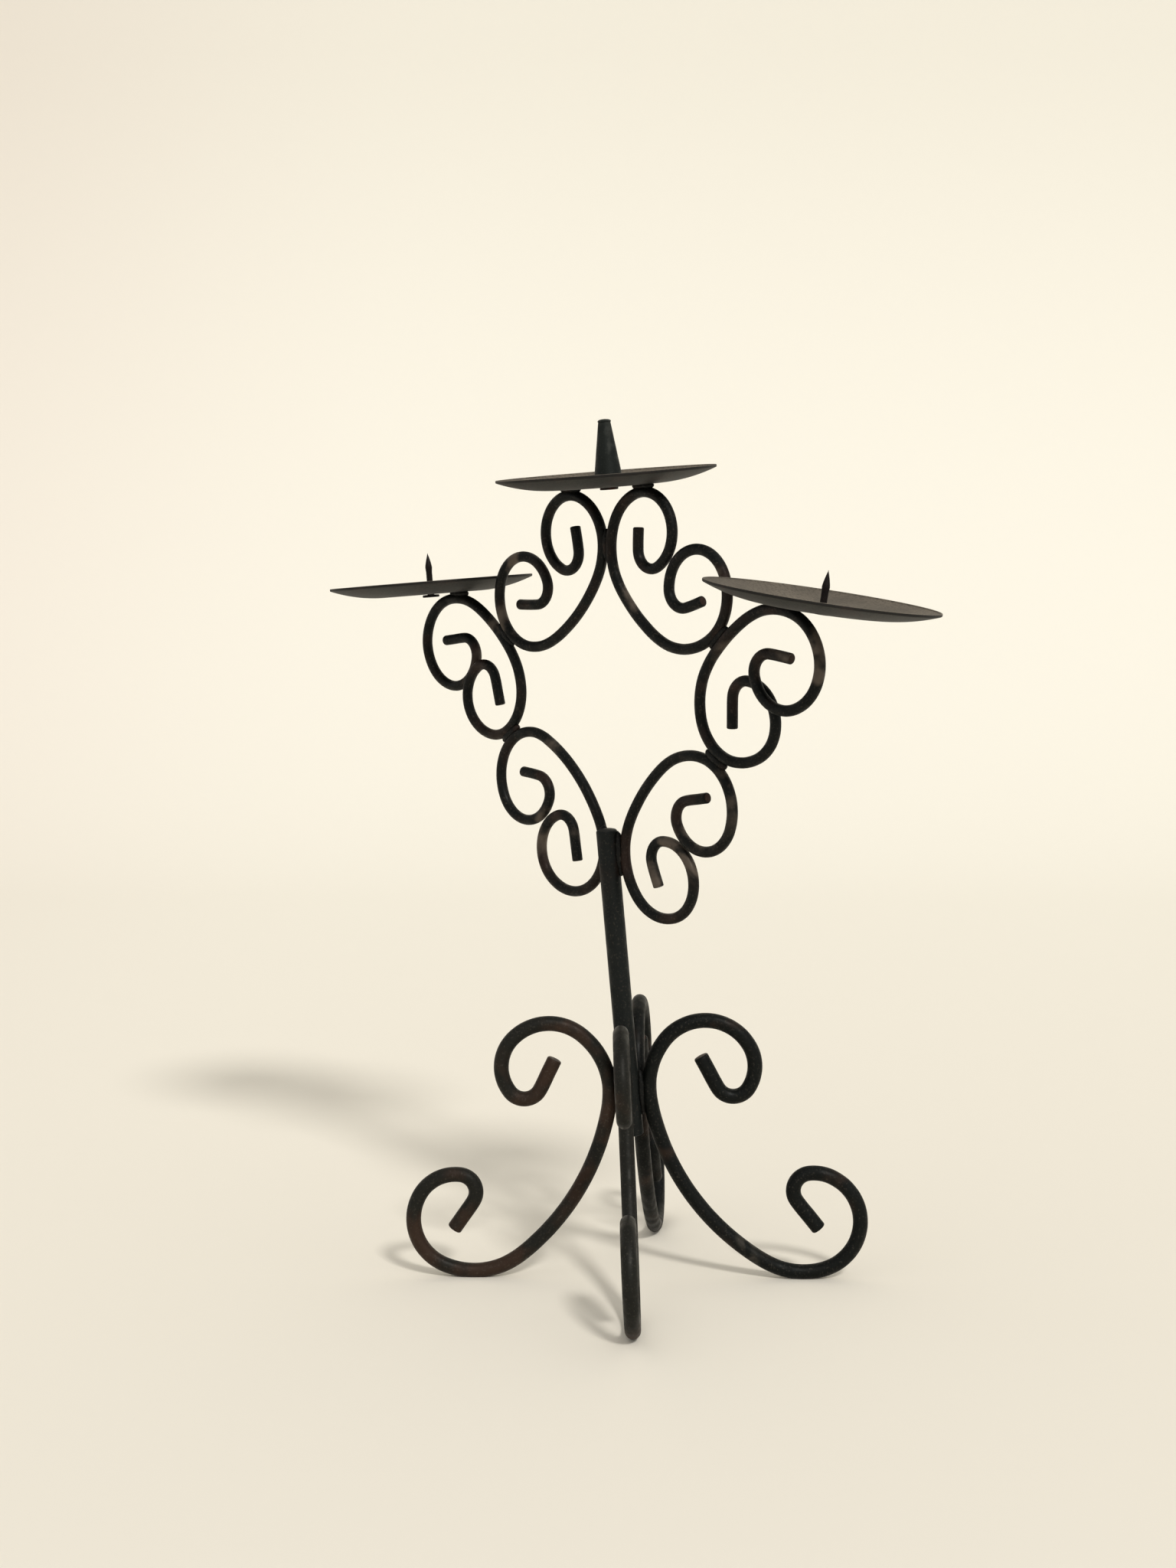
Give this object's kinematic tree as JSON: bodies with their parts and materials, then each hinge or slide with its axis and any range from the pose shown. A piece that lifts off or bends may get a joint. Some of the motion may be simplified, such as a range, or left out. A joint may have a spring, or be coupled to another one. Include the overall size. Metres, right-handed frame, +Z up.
{
  "type": "candle stand",
  "caption": "Wrought-iron candle stand: a leaning post on C-scroll legs carries a star of C-scrolls with spiked drip pans.",
  "frame": {"origin": "under the middle of the overall box, on the floor that the four legs stand on", "axes": "+Z up, +X to the right leg, -Y to the front leg, which is the side that the picture shows"},
  "size_m": [0.3162, 0.3238, 0.4543],
  "materials": {
    "post_iron": "blackened, matte",
    "leg_iron": "blackened, worn to brown, satin on the rounds",
    "scroll_iron": "blackened, matte, with grey-brown worn patches",
    "pan_iron": "grey-olive, matte",
    "nail_iron": "dark brown, matte",
    "sleeve_iron": "blackened, matte",
    "weld_iron": "blackened, lumpy"
  },
  "bodies": {
    "root": {"post": "post_iron", "leg_left": "leg_iron", "leg_right": "leg_iron", "leg_front": "leg_iron", "leg_back": "leg_iron", "scroll_bottom_left": "scroll_iron", "scroll_mid_left": "scroll_iron", "scroll_top_left": "scroll_iron", "scroll_bottom_right": "scroll_iron", "scroll_mid_right": "scroll_iron", "scroll_top_right": "scroll_iron", "pan_top": "pan_iron", "pan_left": "pan_iron", "pan_right": "pan_iron", "nail_top": "nail_iron", "nail_left": "nail_iron", "nail_right": "nail_iron", "centre_sleeve": "sleeve_iron", "weld_leg_left": "weld_iron", "weld_leg_right": "weld_iron", "weld_leg_front": "weld_iron", "weld_leg_back": "weld_iron", "weld_post_left": "weld_iron", "weld_post_right": "weld_iron", "weld_bottom_mid_left": "weld_iron", "weld_bottom_mid_right": "weld_iron", "weld_mid_top_left": "weld_iron", "weld_mid_top_right": "weld_iron", "weld_top_pair": "weld_iron", "weld_pan_left": "weld_iron", "weld_pan_right": "weld_iron", "weld_pan_top_left": "weld_iron", "weld_pan_top_right": "weld_iron"}
  },
  "joints": []
}
